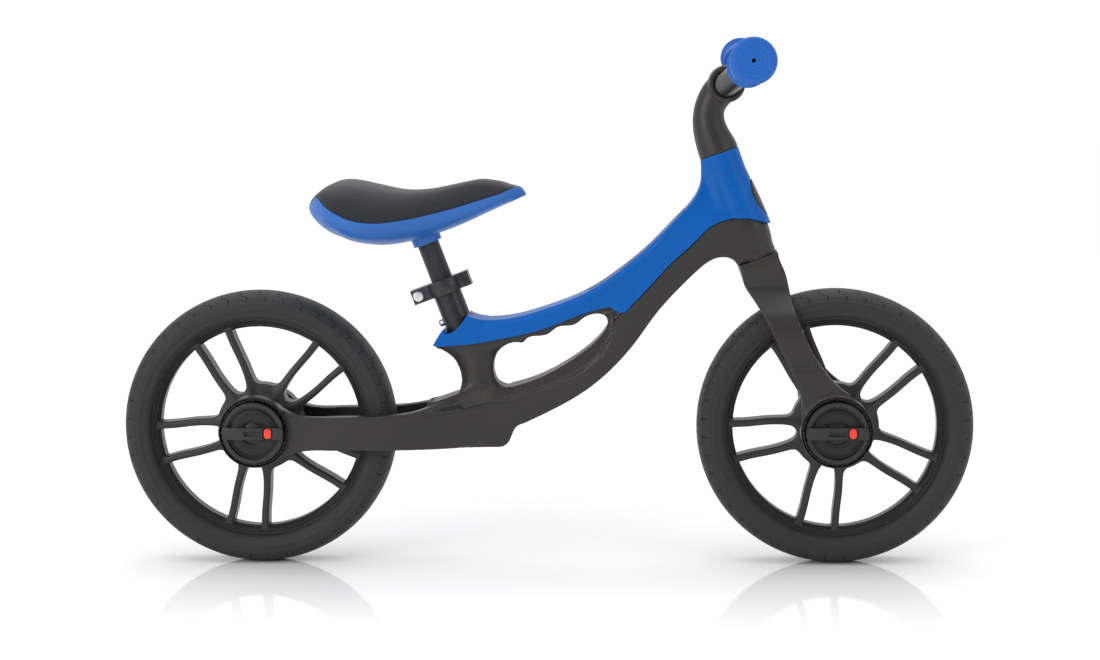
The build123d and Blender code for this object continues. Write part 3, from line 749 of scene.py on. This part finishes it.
rimLook = dict(
    barrel=[(8, -9), (11, -9), (11, -16), (20, -16), (20, -10.5), (96.8, -10.5), (100.2, -15.2), (101, -15.2),
            (101, -13), (98.4, -11.5)],
    pairEdge=[(96.5, 13.6), (80, 11.8), (60, 10.7), (46, 8.6), (38, 5.6), (34.6, 0)],
    outerEdge=[(95.3, 20.3), (80, 18.4), (60, 17.3), (45, 15.7), (37.5, 15.4)],
    rimInner=97.5, spokeHalf=10.5, ease=1.5,
    dishInner=93.6, dishFrom=6, dishSlope=0.717,   # the rim's inside, a cone each way from its middle
    turn={"front": 44.4, "rear": 45.4}, pairs=5,
)


def windowLoop(edge, look, web):
    # one window between spokes, closed by the rim and, where it is wide, by the hub
    side = curveThrough(edge, 5)
    rimSide = math.atan2(side[0][1], side[0][0])
    arc = [(look["rimInner"] * math.cos(a), look["rimInner"] * math.sin(a))
           for a in np.linspace(-rimSide, rimSide, 14)[1:-1]]
    first = [(look["rimInner"] * math.cos(rimSide), look["rimInner"] * math.sin(rimSide))]
    far = side[1:] if web else side[1:-1]
    near = [(x, -y) for x, y in far[::-1]]
    if web:
        turn = math.atan2(far[-1][1], far[-1][0])
        reach = np.linalg.norm(far[-1])
        middle = [(reach * math.cos(a), reach * math.sin(a)) for a in np.linspace(turn, -turn, 9)[1:-1]]
    else:
        middle = [tuple(side[-1])]
    loop = first + list(map(tuple, far)) + middle + near + [(first[0][0], -first[0][1])] + arc
    corners = [0, len(loop) - len(arc) - 1]
    if web:
        corners += [len(far), len(far) + len(middle) + 1]
    return np.array(loop), corners


def cornersEased(loop, corners, radius):
    # only the named corners are rounded, with points in between
    count = len(loop)
    spots = []
    for at in range(count):
        gap = min(np.linalg.norm(loop[at] - loop[corner]) for corner in corners)
        if at not in corners and gap < radius:
            continue
        if at in corners:
            marks = []
            for way in (-1, 1):
                reach, here, left = at, loop[at], radius
                while True:
                    after = loop[(reach + way) % count]
                    step = np.linalg.norm(after - here)
                    if step >= left:
                        marks.append(here + (after - here) * left / step)
                        break
                    left -= step
                    here, reach = after, reach + way
            start, end = marks
            spots += [start * (1 - t) ** 2 + loop[at] * 2 * t * (1 - t) + end * t * t
                      for t in np.linspace(0, 1, 7)]
        else:
            spots.append(loop[at])
    return np.array(spots)


def windowTool(name, loop, look):
    # a window's cutter, wider at both faces so that it leaves rounded spoke edges
    ahead, behind = np.roll(loop, -1, 0), np.roll(loop, 1, 0)
    along = ahead - behind
    normal = np.stack([along[:, 1], -along[:, 0]], 1) / np.linalg.norm(along, axis=1)[:, None]
    area = 0.5 * np.sum(loop[:, 0] * ahead[:, 1] - ahead[:, 0] * loop[:, 1])
    normal = normal * (1 if area > 0 else -1)
    half, ease = look["spokeHalf"], look["ease"]
    rise = [(half + 3, 1.9), (half, 1.0), (half - 0.3 * ease, 0.5), (half - 0.8 * ease, 0.14),
            (half - 1.6 * ease, 0), (look["dishFrom"], 0)]
    levels = [(-y, grow) for y, grow in rise] + [(y, grow) for y, grow in rise[::-1]]
    points = []
    for y, grow in levels:
        ring = loop + normal * grow * ease
        far = np.linalg.norm(ring, axis=1)
        depth = min(abs(y), half) - look["dishFrom"]
        ring = ring * np.minimum(1, (look["dishInner"] + depth * look["dishSlope"]) / far)[:, None]
        points += [(x, y, -z) for x, z in ring]
    count = len(loop)
    faces = bands(len(levels), count)
    faces += [tuple(range(count)), tuple((len(levels) - 1) * count + at for at in range(count))]
    return newPiece(name, points, faces)


def turnedTo(points, at, angle):
    # points about the origin moved to a hub and turned in the wheel's plane
    turn = np.radians(angle)
    x = points[:, 0] * math.cos(turn) - points[:, 2] * math.sin(turn)
    z = points[:, 0] * math.sin(turn) + points[:, 2] * math.cos(turn)
    return np.stack([x + at[0], points[:, 1] + at[1], z + at[2]], 1)


def buildRim(end, look=rimLook):
    at = hubs[end]
    profile = look["barrel"] + [(radius, -y) for radius, y in look["barrel"][::-1]]
    piece = lathe(end + "Rim", eased(profile, 1.1), at, wheelAxis, 160)
    step = 360 / look["pairs"]
    pair, pairCorners = windowLoop(look["pairEdge"], look, False)
    lean = math.radians(step / 2)
    outer = [(x * math.cos(lean) + y * math.sin(lean), x * math.sin(lean) - y * math.cos(lean))
             for x, y in look["outerEdge"]]
    wide, wideCorners = windowLoop(outer, look, True)
    tools = []
    for loop, corners, extra in ((pair, pairCorners, 0), (wide, wideCorners, step / 2)):
        tool = tidied(windowTool("window", cornersEased(loop, corners, 5.0), look))
        setPoints(tool, turnedTo(pointsOf(tool), at, look["turn"][end] + extra))
        tools.append(repeated(tool, look["pairs"], None, at, (0, math.radians(step), 0)))
    cut(piece, *tools)
    return fitted(shaded(piece, 35), end + "_wheel", end + "_rim")


tyreLook = dict(
    section=[(98.5, 0), (98.5, 11.4), (101.1, 12.9), (101.1, 18.4), (102.2, 20.6), (105, 22.6),
             (109.2, 23.4),
             (110.0, 23.95), (112.5, 24), (116.2, 23.9), (117.6, 23.6), (118.4, 22.6), (120.4, 21.6),
             (122.4, 19.6), (124.2, 16.5), (125.5, 13), (126.3, 9.5), (126.8, 6.0), (127, 3.0), (127, 0)],
    sipes=44, depth=0.6, floor=0.08, mouth=0.26, swing=1.3, waves=1.75, slant=5.5,
)


def buildTyre(end, look=tyreLook):
    # one pitch of the tread, with a wavy sipe from each shoulder to the crown, then repeated round the wheel
    at = hubs[end]
    half = eased(look["section"], 0.5, 2, closed=False)
    profile = np.vstack([half, [(radius, -y) for radius, y in half[-2:0:-1]]])
    pitch = 360 / look["sipes"]
    reach = np.cumsum(np.r_[0, np.linalg.norm(np.diff(half, axis=0), axis=1)])
    shoulder = reach[np.argmin(np.abs(half[:, 0] - 117.6) + (half[:, 1] < 15) * 99)]
    run = np.interp(np.arange(len(half)), np.arange(len(half)), reach)
    share = np.clip((run - shoulder) / (reach[-1] - 7.5 - shoulder), 0, 1)
    mirrored = np.r_[share, share[-2:0:-1]]
    wave = np.abs((mirrored * look["waves"]) % 1 - 0.5) * 4 - 1
    fade = smoothStep(mirrored / 0.08) * smoothStep((1 - mirrored) / 0.06)
    shift = wave * look["swing"] * smoothStep(mirrored / 0.1) + mirrored * look["slant"]
    mouth, floor = look["mouth"], look["floor"]
    columns = [(-pitch / 2, 0), (-pitch / 4, 0), (-mouth - 0.5, 0), (-mouth, 0), (-floor, 1),
               (floor, 1), (mouth, 0), (mouth + 0.5, 0), (pitch / 4, 0), (pitch / 2, 0)]
    rows = len(profile)
    inward = np.stack([-np.ones(rows) * 0.8, -profile[:, 1] / 26], 1)
    points = []
    for angle, deep in columns:
        sunk = profile + inward * (deep * look["depth"] * fade)[:, None]
        turns = np.radians(angle + shift)
        points += [(radius * math.cos(a), y, radius * math.sin(a)) for (radius, y), a in zip(sunk, turns)]
    piece = newPiece(end + "Tyre", turnedTo(np.array(points), at, 3), bands(len(columns), rows))
    repeated(piece, look["sipes"], paints["tyre_black"], at, (0, math.radians(pitch), 0))
    return fitted(shaded(tidied(piece), 50), end + "_wheel", end + "_tyre")


for end in hubs:
    buildRim(end)
    buildTyre(end)
print("wheels built")


def bevelled(node, name, body, width, steps=2):
    # a CAD shape with its flat faces rejoined and its edges broken
    piece = reworked(cadCopy(node, name), lambda work: bmesh.ops.dissolve_limit(
        work, angle_limit=math.radians(0.6), verts=work.verts, edges=work.edges))
    bevel = piece.modifiers.new("edges", "BEVEL")
    bevel.width = width * mm
    bevel.segments = steps
    bevel.limit_method = "ANGLE"
    bevel.angle_limit = math.radians(32)
    return fitted(shaded(settled(piece), 30), body, node)


ringLook = dict(outer=31.15, inner=29.4, low=-40.6, floor=-36.5,
                ribs=20, ribHalf=0.6, ribFoot=28.7, ribTop=-43.2)


def buildDialRing(end, body, look=ringLook):
    at = hubs[end]
    wall = [(look["inner"], look["floor"]), (look["outer"], look["floor"]), (look["outer"], look["low"]),
            (look["inner"], look["low"])]
    piece = lathe(end + "DialRing", eased(wall, 0.25), at, wheelAxis, 160)
    foot, side, top, half = look["ribFoot"], look["outer"] - 0.1, look["ribTop"], look["ribHalf"]
    low = look["floor"] - 0.3
    rib = lathe("rib", eased([(foot, low), (side, low), (side, top), (foot, top)], 0.3),
                at, wheelAxis, 4, span=(-half * 2, half * 2))
    repeated(rib, look["ribs"], paints["trim_black"], at, (0, 2 * math.pi / look["ribs"], 0))
    return fitted(shaded(joined(piece, rib)), body, end + "_dial_ring")


for end, leg in (("front", "steering"), ("rear", "frame")):
    buildDialRing(end, leg)
    bevelled(end + "_dial", end + "Dial", end + "_dial_body", 0.35)
    bevelled(end + "_lock_button", end + "LockButton", end + "_lock_body", 0.5, 3)
    bevelled(end + "_hub_cap", end + "HubCap", leg, 0.2)
    bevelled(end + "_axle", end + "Axle", leg, 0.3)
print("hubs built")


bevelled("seat_clamp", "seatClamp", "frame", 0.5)
bevelled("clamp_block", "clampBlock", "frame", 0.4)
bevelled("clamp_nut", "clampNut", "frame", 0.3)

tubeLook = dict(outer=13, inner=10.05, low=-130, floor=-126, high=3.75)
screwLook = dict(
    clamp=dict(node="clamp_screw",
               head=[(0, -8.5), (5.1, -8.5), (5.1, -10.3), (4.3, -11.2), (2.6, -11.5), (0, -11.5)],
               shank=2.5, end=12, recess=(2.8, 0.55, -10.1)),
    tube=dict(node="seat_tube_screw",
              head=[(0, 13), (3.4, 13), (3.4, 16), (2.5, 17.2), (1.2, 17.5), (0, 17.5)],
              shank=1.7, end=11, recess=(2.0, 0.4, 16.4)),
)


def buildSeatTube(look=tubeLook):
    wall = [(0, look["low"]), (look["outer"], look["low"]), (look["outer"], look["high"]),
            (look["inner"], look["high"]), (look["inner"], look["floor"]), (0, look["floor"])]
    wall = np.vstack([wall[:1], eased(wall[1:4], 0.45, 3, closed=False), wall[4:]])
    return fitted(shaded(lathe("seatTube", wall, seatAt, seatUp, 96)), "frame", "seat_tube")


def buildScrew(name, at, axis, look):
    # a pan head on its shank, with a cross cut in the head
    piece = lathe(name, look["head"], at, axis, 48)
    start = look["head"][0][1]
    low, high = sorted((start, look["end"]))
    reach, half, floor = look["recess"]
    top = look["head"][-1][1]
    out = 1 if top > start else -1
    along = np.array(Vector(axis).normalized())
    side = np.cross(along, (0, 0, 1) if abs(along[2]) < 0.9 else (0, 1, 0))
    side = side / np.linalg.norm(side)
    other = np.cross(along, side)
    for first, second in ((side, other), (other, side)):
        corners = [np.array(at) + along * h + first * reach * a + second * half * b
                   for h in (floor, top + out) for a, b in ((-1, -1), (1, -1), (1, 1), (-1, 1))]
        walls = [(0, 1, 2, 3), (4, 5, 6, 7)] + [(i, (i + 1) % 4, (i + 1) % 4 + 4, i + 4) for i in range(4)]
        cut(piece, tidied(newPiece("crossTool", corners, walls)))
    joined(piece, rod("shank", look["shank"], low, high, at, axis, 32))
    return fitted(shaded(piece, 30), "frame", look["node"])


seatRear = Vector((0, 1, 0)).cross(seatUp)   # square to the tube, forward along the bike
buildSeatTube()
buildScrew("clampScrew", seatAt - seatRear * 25.1 - seatUp * 3, wheelAxis, screwLook["clamp"])
buildScrew("seatTubeScrew", seatAt - seatUp * 34, -seatRear, screwLook["tube"])

postLook = dict(outer=10, inner=8, low=-78, high=54)


def buildPost(look=postLook):
    wall = eased([(look["inner"], look["low"]), (look["outer"], look["low"]), (look["outer"], look["high"]),
                  (look["inner"], look["high"])], 0.5)
    piece = lathe("seatPost", wall, seatAt, seatUp, 96)
    layer = piece.data.uv_layers.new(name="around")
    points = pointsOf(piece)
    along = (points - np.array(seatAt)) @ np.array(seatUp)
    side = np.cross(np.array(seatUp), (0, 1, 0))
    turn = np.arctan2(points[:, 1], (points - np.array(seatAt)) @ side) / (2 * math.pi)
    for face in piece.data.polygons:
        seam = max(turn[at] for at in face.vertices)
        for loop, at in zip(face.loop_indices, face.vertices):
            around = turn[at] + (1 if seam - turn[at] > 0.5 else 0)
            layer.data[loop].uv = (around, along[at] / 63)
    return fitted(shaded(piece), "seat", "seat_post", postSteel)


buildPost()
print("seat tube and post built")


saddleLook = dict(
    spineRear=-176, spineNose=-34,
    plan=[(-217, 0), (-212, 30), (-196, 55), (-178, 63), (-155, 60), (-125, 45), (-95, 33), (-60, 26),
          (-35, 20),
          (-20, 10), (-16, 0)],
    bottom=[(-217, 330), (-210, 321), (-200, 312.5), (-190, 306.5), (-175, 300.5), (-160, 297.5),
            (-145, 296.5),
            (-130, 298), (-110, 302.5), (-90, 309), (-70, 317), (-45, 328.5), (-16, 341)],
    seam=[(-217, 331), (-207, 340), (-204, 342), (-195, 334), (-182, 326.5), (-170, 322), (-155, 319.5),
          (-140, 319.5),
          (-120, 322), (-100, 326), (-80, 331), (-60, 337), (-40, 343), (-24, 348.5), (-16, 341)],
    top=[(-217, 330.5), (-213, 340), (-205, 347), (-195, 352.5), (-182, 355), (-170, 354), (-150, 349.5),
         (-130, 345.5), (-115, 345), (-100, 346.5), (-80, 350.5), (-60, 354.5), (-48, 355), (-35, 353.5),
         (-24, 348.5), (-16, 341)],
    wall=3.2, rings=30, steps=160, shellBulge=(6, 2.6), padBulge=(5, 2.4),
    tower=[(10.1, 39.5), (13.5, 39.5), (13.5, 60), (10.1, 60)],
    padVoxel=3.0, pressure=4.0, frames=20, swell=1.4,
)


def heightAt(line, x):
    smooth = curveThrough(line, 6)
    smooth = smooth[np.argsort(smooth[:, 0])]
    return np.interp(x, smooth[:, 0], smooth[:, 1])


def dome(name, look, far, grow, bulge):
    # a disc over the saddle's plan whose middle follows the line far and whose edge follows the seam
    half = curveThrough(look["plan"], 10)
    around = np.vstack([half, [(x, -y) for x, y in half[-2:0:-1]]])
    reach = np.cumsum(np.r_[0, np.linalg.norm(np.diff(np.vstack([around, around[:1]]), axis=0), axis=1)])
    closed = np.vstack([around, around[:1]])
    marks = np.linspace(0, reach[-1], look["steps"] + 1)[:-1]
    edge = np.stack([np.interp(marks, reach, closed[:, axis]) for axis in (0, 1)], 1)
    centre = np.stack([np.clip(edge[:, 0], look["spineRear"], look["spineNose"]), np.zeros(len(edge))], 1)
    outward = edge - centre
    outward = outward / np.linalg.norm(outward, axis=1)[:, None]
    edge = edge + outward * grow
    rim = heightAt(look["seam"], edge[:, 0])
    points, rings = [], look["rings"]
    for ring in range(rings + 1):
        r = math.sin(math.pi / 2 * ring / rings)
        spot = centre + (edge - centre) * r
        power = bulge[1] + (bulge[0] - bulge[1]) * smoothStep((np.abs(outward[:, 0]) - 0.2) / 0.6)
        crown = (1 - r ** power) ** (1 / power)
        height = rim + (heightAt(far, spot[:, 0]) - rim) * crown
        points += [(x, y, z) for (x, y), z in zip(spot, height)]
    return newPiece(name, points, bands(rings + 1, look["steps"]))


def buildShell(look=saddleLook):
    piece = tidied(dome("saddleShell", look, look["bottom"], 0, look["shellBulge"]), 0.3)
    wall = piece.modifiers.new("wall", "SOLIDIFY")
    wall.thickness = look["wall"] * mm
    wall.offset = -1
    wall.use_even_offset = True
    settled(piece)
    joined(piece, lathe("tower", eased(look["tower"], 0.6), seatAt, seatUp))
    return fitted(shaded(piece, 45), "seat", "saddle_shell")


buildShell()
print("saddle shell built")


def swollen(piece, look):
    # a short cloth run lets the foam press its cover out, no point by more than swell before the smoothing
    skinned(piece, look["padVoxel"])
    before = pointsOf(piece)
    foam = piece.modifiers.new("foam", "CLOTH")
    foam.settings.use_pressure = True
    foam.settings.uniform_pressure_force = look["pressure"]
    foam.settings.effector_weights.gravity = 0
    foam.point_cache.frame_end = look["frames"]
    for step in range(1, look["frames"] + 1):
        bpy.context.scene.frame_set(step)
    settled(piece)
    bpy.context.scene.frame_set(1)
    move = pointsOf(piece) - before
    reach = np.linalg.norm(move, axis=1)
    print("pad swelled by up to", round(float(reach.max()), 2), "mm")
    free = smoothStep((before[:, 2] - heightAt(look["seam"], before[:, 0])) / 6)
    capped = np.minimum(reach, look["swell"]) / np.maximum(reach, 1e-6) * free
    setPoints(piece, before + move * capped[:, None])
    relaxed(piece, 3)
    finer = piece.modifiers.new("finer", "SUBSURF")
    finer.levels = finer.render_levels = 1
    return settled(piece)


def buildPad(look=saddleLook):
    inner = -0.4
    upper = dome("saddlePad", look, look["top"], inner, look["padBulge"])
    lower = dome("padUnder", look, look["bottom"], inner - 0.2, look["shellBulge"])
    points = pointsOf(lower)
    under = smoothStep((heightAt(look["seam"], points[:, 0]) - points[:, 2]) / 4)
    points[:, 2] += (look["wall"] + 0.6) * under
    setPoints(lower, points)
    piece = tidied(joined(upper, lower), 0.4)
    swollen(piece, look)
    return fitted(shaded(piece, 50), "seat", "saddle_pad")


pad = buildPad()
print("saddle built")


bevelled("handlebar", "handlebarTube", "steering", 0.2)

gripLook = dict(
    bar=11.1, length=105, body=15.4, ribRise=1.0, ribs=9, ribPitch=9.0, firstRib=-90, hole=1.8,
    endRings=(15.2, 11.4, 7.6, 4.4), grooveFloor=4.68,
    barPoints=[(183.3, 85, 457.3), (184.9, 185, 463.1)],
)


def buildGrip(side, name, node, look=gripLook):
    inner, outer = [np.array((x, side * y, z)) for x, y, z in look["barPoints"]]
    axis = (outer - inner) / np.linalg.norm(outer - inner)
    start = 5 - look["length"]
    body, bar, hole = look["body"], look["bar"], look["hole"]
    outline = [(bar, start), (18, start), (18.7, start + 1.5), (18.7, start + 4.5),
               (body, start + 7), (body, -6),
               (19.2, -4.4), (20, -2.6), (20, 2), (18.6, 4.2)]
    ends = [(16.6, 4.6)]
    for ring in look["endRings"]:   # fine grooves in the end face
        ends += [(ring + 0.35, 4.85), (ring + 0.1, look["grooveFloor"]), (ring - 0.1, look["grooveFloor"]),
                 (ring - 0.35, 4.9)]
    ends += [(hole + 0.4, 5), (hole, 4.7)]
    piece = lathe(name, np.vstack([eased(outline, 0.9, 3, closed=False), ends, [(hole, 0.2), (bar, 0.2)]]),
                  outer, axis, 96)
    first, foot, top = look["firstRib"], body - 0.6, body + look["ribRise"]
    ridge = eased([(foot, first), (top, first + 1.2), (top, first + 5.6), (foot, first + 6.8)], 0.8)
    rib = lathe("rib", ridge, outer, axis, 96)
    repeated(rib, look["ribs"], paints["grip_blue"], outer, move=axis * look["ribPitch"])
    return fitted(shaded(joined(piece, rib), 28), "steering", node)


buildGrip(-1, "gripRight", "grip_right")
buildGrip(1, "gripLeft", "grip_left")
print("handlebar and grips built")


bevelled("head_badge", "headBadge", "frame", 0.3)
for node, piece in nodes.items():
    piece.data.materials.clear()
    piece.data.materials.append(paints[slots[node]])
print("finishes on carried-over parts:", sum(not piece.hide_render for piece in nodes.values()))


stageLook = dict(floorWhite=0.9, shine=0.22, shineFrom=0.03, shineTo=0.42, shineRough=0.05,
                 worldSide=0.72, worldSwing=0.34, sun=1.25, sunAngle=70,
                 lamps=[("keyLight", (-1.9, -2.2, 1.3), 1.4, 34), ("fillLight", (2.3, -1.6, 1.4), 1.2, 9)],
                 cameraAt=(116.645, -2181.69, 477.65), yaw=0.0515, pitch=0.1192, roll=-0.0081,
                 focal=2381.45, pictureWidth=1100, sensor=36)


def buildFloor(look=stageLook):
    paint = Paint("paleFloor")
    clouds = paint.noise(400.0, 2.0)
    white = (look["floorWhite"],) * 3
    shade = paint.blend(clouds, tinted(white, 0.99), tinted(white, 1.01))
    matt = paint.node("ShaderNodeBsdfDiffuse", None, {"Color": shade})
    gloss = paint.node("ShaderNodeBsdfGlossy", None, {"Color": (1, 1, 1, 1), "Roughness": look["shineRough"]})
    # polished under the wheels and matt further out
    away = paint.node("ShaderNodeMath", {"operation": "ABSOLUTE"}, {0: paint.axes(paint.place)[1]})
    fade = paint.node("ShaderNodeMapRange", {"interpolation_type": "SMOOTHSTEP"},
                      {0: away, 1: look["shineFrom"], 2: look["shineTo"], 3: look["shine"], 4: 0.0})
    both = paint.node("ShaderNodeMixShader", None, {0: fade, 1: matt, 2: gloss})
    paint.node("ShaderNodeOutputMaterial", None, {0: both})
    reach = 9000
    corners = [(-reach, -reach, 0), (reach, -reach, 0), (reach, reach, 0), (-reach, reach, 0)]
    floor = newPiece("floor", corners, [(0, 1, 2, 3)])
    floor.data.materials.append(paint.material)


def buildLights(look=stageLook):
    world = bpy.data.worlds.new("studio")
    bpy.context.scene.world = world
    world.use_nodes = True
    sky = Graph(world.node_tree)
    depth = sky.axes(sky.node("ShaderNodeTexCoord"))[1]   # a white wall behind and a dimmer room in front
    strength = depth * look["worldSwing"] + look["worldSide"]
    back = sky.node("ShaderNodeBackground", None, {"Color": (1, 1, 1, 1), "Strength": strength})
    sky.node("ShaderNodeOutputWorld", None, {0: back})
    sun = bpy.data.lights.new("ceilingLight", "SUN")
    sun.energy = look["sun"]
    sun.angle = math.radians(look["sunAngle"])
    bpy.context.scene.collection.objects.link(bpy.data.objects.new("ceilingLight", sun))
    for name, place, size, power in look["lamps"]:
        lamp = bpy.data.lights.new(name, "AREA")
        lamp.shape = "RECTANGLE"
        lamp.size, lamp.size_y = size, size * 0.8
        lamp.energy = power
        holder = bpy.data.objects.new(name, lamp)
        bpy.context.scene.collection.objects.link(holder)
        aim = Vector((0, 0, 0.25)) - Vector(place)
        holder.location = place
        holder.rotation_euler = aim.to_track_quat("-Z", "Y").to_euler()


def buildCamera(look=stageLook):
    yaw, pitch, roll = look["yaw"], look["pitch"], look["roll"]
    ahead = Vector((-math.sin(yaw) * math.cos(pitch), math.cos(yaw) * math.cos(pitch), -math.sin(pitch)))
    level = Vector((math.cos(yaw), math.sin(yaw), 0))
    upright = level.cross(ahead)
    right = level * math.cos(roll) + upright * math.sin(roll)
    up = upright * math.cos(roll) - level * math.sin(roll)
    lens = bpy.data.cameras.new("camera")
    lens.sensor_width = look["sensor"]
    lens.lens = look["focal"] / look["pictureWidth"] * look["sensor"]
    lens.clip_end = 100
    camera = bpy.data.objects.new("camera", lens)
    turn = Matrix((right, up, -ahead)).transposed().to_4x4()
    camera.matrix_world = Matrix.Translation(Vector(look["cameraAt"]) * mm) @ turn
    bpy.context.scene.collection.objects.link(camera)
    bpy.context.scene.camera = camera


buildFloor()
buildLights()
buildCamera()
bpy.context.scene.view_settings.view_transform = "Standard"
print("stage built")
